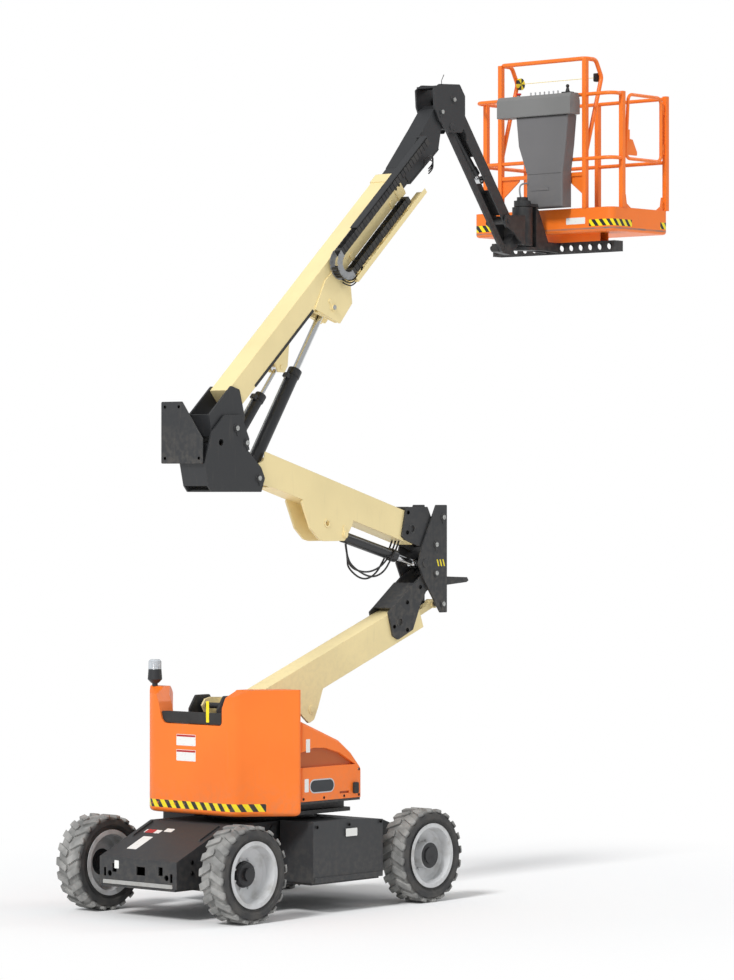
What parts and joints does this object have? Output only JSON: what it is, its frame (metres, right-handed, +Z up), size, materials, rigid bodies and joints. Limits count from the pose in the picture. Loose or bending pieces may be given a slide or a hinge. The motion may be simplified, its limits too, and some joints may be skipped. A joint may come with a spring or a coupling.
{
  "type": "articulating boom lift",
  "caption": "Wheeled articulating boom lift with a folding tower, a telescoping main boom, a jib and a rotating work platform.",
  "frame": {"origin": "on the ground, under the middle of the machine's bounding box", "axes": "+X from the counterweight to the platform, +Y to the left, +Z up"},
  "size_m": [5.627, 1.73, 6.808],
  "materials": {
    "body_paint": "semi-gloss",
    "orange_paint": "semi-gloss",
    "black_paint": "satin",
    "chassis_paint": "satin",
    "chrome_rod": "polished",
    "tyre_rubber": "matte",
    "console_grey": "satin",
    "housing_grey": "satin",
    "rim_paint": "satin",
    "track_plastic": "matte",
    "lamp_plastic": "gloss",
    "cast_steel": "rough"
  },
  "bodies": {
    "chassis": {"chassis_frame": "chassis_paint", "battery_box_left": "chassis_paint", "battery_box_right": "chassis_paint", "slew_ring": "cast_steel"},
    "knuckle left": {"steer_knuckle_left": "cast_steel"},
    "knuckle right": {"steer_knuckle_right": "cast_steel"},
    "track rod": {"tie_rod": "black_paint"},
    "wheel steer left": {"tyre_steer_left": "tyre_rubber", "rim_steer_left": "rim_paint"},
    "wheel steer right": {"tyre_steer_right": "tyre_rubber", "rim_steer_right": "rim_paint"},
    "wheel drive left": {"tyre_drive_left": "tyre_rubber", "rim_drive_left": "rim_paint"},
    "wheel drive right": {"tyre_drive_right": "tyre_rubber", "rim_drive_right": "rim_paint"},
    "turntable": {"turntable_frame": "black_paint", "counterweight": "orange_paint", "hood_left": "orange_paint", "hood_right": "orange_paint", "power_unit": "cast_steel", "beacon": "lamp_plastic"},
    "lower arm": {"lower_arm": "body_paint", "lower_arm_bracket": "black_paint"},
    "lower link": {"lower_link": "body_paint"},
    "lower barrel": {"lower_cylinder_barrel": "black_paint"},
    "lower rod": {"lower_cylinder_rod": "chrome_rod"},
    "mid upright": {"mid_upright": "black_paint"},
    "mid arm": {"mid_arm": "body_paint", "mid_arm_bracket": "black_paint"},
    "mid barrel": {"mid_cylinder_barrel": "black_paint"},
    "mid rod": {"mid_cylinder_rod": "chrome_rod"},
    "upper upright": {"upper_upright": "black_paint", "valve_guard": "black_paint"},
    "main boom": {"main_boom": "body_paint", "boom_rear_bracket": "black_paint", "track_tray": "body_paint", "track_lower": "track_plastic"},
    "main barrel": {"main_cylinder_barrel": "black_paint"},
    "main rod": {"main_cylinder_rod": "chrome_rod"},
    "level barrel": {"level_cylinder_barrel": "black_paint"},
    "level rod": {"level_cylinder_rod": "chrome_rod"},
    "track bend": {"track_bend": "track_plastic"},
    "fly boom": {"fly_boom": "black_paint", "track_upper": "track_plastic"},
    "jib mount": {"jib_mount": "black_paint"},
    "jib arm": {"jib_arm": "black_paint"},
    "jib link": {"jib_link": "black_paint"},
    "jib barrel": {"jib_cylinder_barrel": "black_paint"},
    "jib rod": {"jib_cylinder_rod": "chrome_rod"},
    "platform support": {"platform_support": "black_paint"},
    "platform": {"platform_mount": "black_paint", "platform_floor": "orange_paint", "platform_rails": "orange_paint", "console": "console_grey", "console_housing": "housing_grey"},
    "gate": {"gate": "orange_paint"}
  },
  "joints": [
    {"name": "swing", "type": "hinge", "parent": "chassis", "child": "turntable", "pos_m": [-1.4355, 0, 0.7], "axis": [0, 0, 1], "range_deg": [-177.5, 177.5]},
    {"name": "steer left", "type": "hinge", "parent": "chassis", "child": "knuckle left", "pos_m": [-2.4505, 0.59, 0.363], "axis": [0, 0, 1], "range_deg": [-32, 32]},
    {"name": "steer right", "type": "hinge", "parent": "chassis", "child": "knuckle right", "pos_m": [-2.4505, -0.59, 0.363], "axis": [0, 0, 1], "range_deg": [-32.5, 32.5]},
    {"name": "track rod slide", "type": "slide", "parent": "chassis", "child": "track rod", "axis": [0, 1, 0], "range_m": [-0.09, 0.09]},
    {"name": "wheel steer left spin", "type": "hinge", "parent": "knuckle left", "child": "wheel steer left", "pos_m": [-2.4505, 0.745, 0.363], "axis": [0, 1, 0], "continuous": true},
    {"name": "wheel steer right spin", "type": "hinge", "parent": "knuckle right", "child": "wheel steer right", "pos_m": [-2.4505, -0.745, 0.363], "axis": [0, 1, 0], "continuous": true},
    {"name": "wheel drive left spin", "type": "hinge", "parent": "chassis", "child": "wheel drive left", "pos_m": [-0.4205, 0.745, 0.363], "axis": [0, 1, 0], "continuous": true},
    {"name": "wheel drive right spin", "type": "hinge", "parent": "chassis", "child": "wheel drive right", "pos_m": [-0.4205, -0.745, 0.363], "axis": [0, 1, 0], "continuous": true},
    {"name": "tower lift", "type": "hinge", "parent": "turntable", "child": "lower arm", "pos_m": [-1.9555, 0, 1.56], "axis": [0, -1, 0], "range_deg": [-26, 43]},
    {"name": "mid upright level", "type": "hinge", "parent": "lower arm", "child": "mid upright", "pos_m": [0.4995, 0, 2.53], "axis": [0, -1, 0], "range_deg": [-45.5, 26.5]},
    {"name": "lower link pivot", "type": "hinge", "parent": "turntable", "child": "lower link", "pos_m": [-1.8705, 0, 1.31], "axis": [0, -1, 0], "range_deg": [-26.5, 45.5]},
    {"name": "lower barrel pivot", "type": "hinge", "parent": "turntable", "child": "lower barrel", "pos_m": [-1.9955, 0, 0.85], "axis": [0, -1, 0], "range_deg": [-17.02, 27.82]},
    {"name": "lower rod slide", "type": "slide", "parent": "lower barrel", "child": "lower rod", "axis": [0.8494, 0, 0.5278], "range_m": [-0.2457, 0.405]},
    {"name": "mid lift", "type": "hinge", "parent": "mid upright", "child": "mid arm", "pos_m": [0.4995, 0, 2.76], "axis": [0, 1, 0], "range_deg": [-10, 52]},
    {"name": "upper upright level", "type": "hinge", "parent": "mid arm", "child": "upper upright", "pos_m": [-1.6155, 0, 3.29], "axis": [0, 1, 0], "range_deg": [-52.5, 10.5]},
    {"name": "mid barrel pivot", "type": "hinge", "parent": "mid arm", "child": "mid barrel", "pos_m": [-0.5705, 0, 2.85], "axis": [0, -1, 0], "range_deg": [-1.52, 0.7]},
    {"name": "mid rod slide", "type": "slide", "parent": "mid barrel", "child": "mid rod", "axis": [0.9686, 0, -0.2486], "range_m": [-0.0351, 0.1742]},
    {"name": "main lift", "type": "hinge", "parent": "upper upright", "child": "main boom", "pos_m": [-1.8655, 0, 3.67], "axis": [0, -1, 0], "range_deg": [-42.2, 32]},
    {"name": "main barrel pivot", "type": "hinge", "parent": "upper upright", "child": "main barrel", "pos_m": [-1.6155, 0, 3.29], "axis": [0, -1, 0], "range_deg": [-39.61, 30.16]},
    {"name": "main rod slide", "type": "slide", "parent": "main barrel", "child": "main rod", "axis": [0.5533, 0, 0.833], "range_m": [-0.2692, 0.2046]},
    {"name": "level barrel pivot", "type": "hinge", "parent": "upper upright", "child": "level barrel", "pos_m": [-1.7555, 0, 3.56], "axis": [0, -1, 0], "range_deg": [-42.64, 32.45]},
    {"name": "level rod slide", "type": "slide", "parent": "level barrel", "child": "level rod", "axis": [0.635, 0, 0.7725], "range_m": [-0.1074, 0.0819]},
    {"name": "telescope", "type": "slide", "parent": "main boom", "child": "fly boom", "axis": [0.7408, 0, 0.6717], "range_m": [0, 0.9]},
    {"name": "track bend slide", "type": "slide", "parent": "main boom", "child": "track bend", "axis": [0.7408, 0, 0.6717], "range_m": [0, 0.45]},
    {"name": "jib mount level", "type": "hinge", "parent": "fly boom", "child": "jib mount", "pos_m": [0.6045, 0, 6.26], "axis": [0, -1, 0], "range_deg": [-32.5, 42.7]},
    {"name": "jib lift", "type": "hinge", "parent": "jib mount", "child": "jib arm", "pos_m": [0.7545, 0, 6.37], "axis": [0, -1, 0], "range_deg": [-7, 123]},
    {"name": "jib link pivot", "type": "hinge", "parent": "jib mount", "child": "jib link", "pos_m": [0.7245, 0, 6.15], "axis": [0, -1, 0], "range_deg": [-7.5, 123.5]},
    {"name": "platform level", "type": "hinge", "parent": "jib arm", "child": "platform support", "pos_m": [1.46494, 0, 5.42033], "axis": [0, -1, 0], "range_deg": [-123.5, 7.5]},
    {"name": "jib barrel pivot", "type": "hinge", "parent": "jib mount", "child": "jib barrel", "pos_m": [0.8205, 0, 6.158], "axis": [0, -1, 0], "range_deg": [-7.88, 130.16]},
    {"name": "jib rod slide", "type": "slide", "parent": "jib barrel", "child": "jib rod", "axis": [0.6745, 0, -0.7383], "range_m": [-0.0232, 0.3752]},
    {"name": "platform rotate", "type": "hinge", "parent": "platform support", "child": "platform", "pos_m": [1.7645, 0, 5.4], "axis": [0, 0, 1], "range_deg": [-90, 90]},
    {"name": "gate swing", "type": "hinge", "parent": "platform", "child": "gate", "pos_m": [2.7485, -0.727, 6.2], "axis": [0, 0, -1], "range_deg": [0, 85]}
  ],
  "couplings": [
    {"joint": "steer right", "follows": "steer left", "ratio": 1},
    {"joint": "track rod slide", "follows": "steer left", "m_per_rad": 0.145},
    {"joint": "mid upright level", "follows": "tower lift", "ratio": -1},
    {"joint": "lower link pivot", "follows": "tower lift", "ratio": 1},
    {"joint": "lower barrel pivot", "follows": "tower lift", "ratio": 0.63545},
    {"joint": "lower rod slide", "follows": "tower lift", "m_per_rad": 0.53693},
    {"joint": "upper upright level", "follows": "mid lift", "ratio": -1},
    {"joint": "mid barrel pivot", "follows": "mid lift", "ratio": -0.01965},
    {"joint": "mid rod slide", "follows": "mid lift", "m_per_rad": 0.18969},
    {"joint": "main barrel pivot", "follows": "main lift", "ratio": 0.92685},
    {"joint": "main rod slide", "follows": "main lift", "m_per_rad": 0.36274},
    {"joint": "level barrel pivot", "follows": "main lift", "ratio": 0.99847},
    {"joint": "level rod slide", "follows": "main lift", "m_per_rad": 0.1431},
    {"joint": "track bend slide", "follows": "telescope", "ratio": 0.5},
    {"joint": "jib mount level", "follows": "main lift", "ratio": -1},
    {"joint": "jib link pivot", "follows": "jib lift", "ratio": 1},
    {"joint": "platform level", "follows": "jib lift", "ratio": -1},
    {"joint": "jib barrel pivot", "follows": "jib lift", "ratio": 1.0541},
    {"joint": "jib rod slide", "follows": "jib lift", "m_per_rad": 0.17385}
  ]
}
